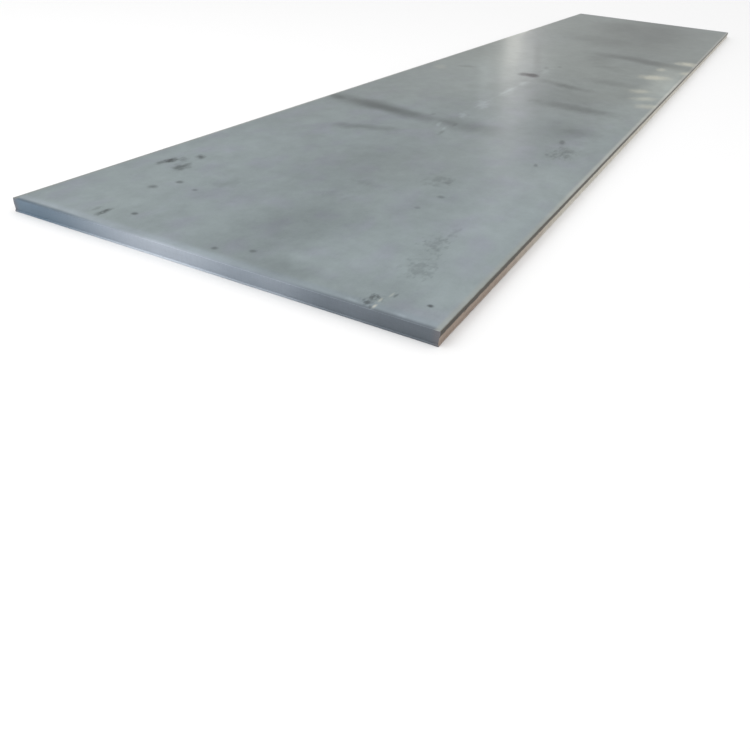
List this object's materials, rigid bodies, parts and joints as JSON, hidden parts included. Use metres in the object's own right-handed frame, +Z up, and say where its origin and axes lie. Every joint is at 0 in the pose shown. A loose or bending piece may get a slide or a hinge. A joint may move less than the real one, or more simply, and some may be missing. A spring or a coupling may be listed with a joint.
{
  "type": "steel plate",
  "caption": "Thick hot-rolled steel plate, lying flat, with mill-scale faces, shear-trimmed edges and square corners; stock for cutting, machining and welding.",
  "frame": {"origin": "middle of the underside, on the surface that the plate lies on", "axes": "+X across the width, +Y along the length, +Z up through the thickness"},
  "size_m": [1.25, 6, 0.04],
  "materials": {
    "mill_scale_steel": "hot-rolled mill scale on the faces, bare and lightly rusted on the cut edges"
  },
  "bodies": {
    "root": {"steel_plate": "mill_scale_steel"}
  },
  "joints": []
}
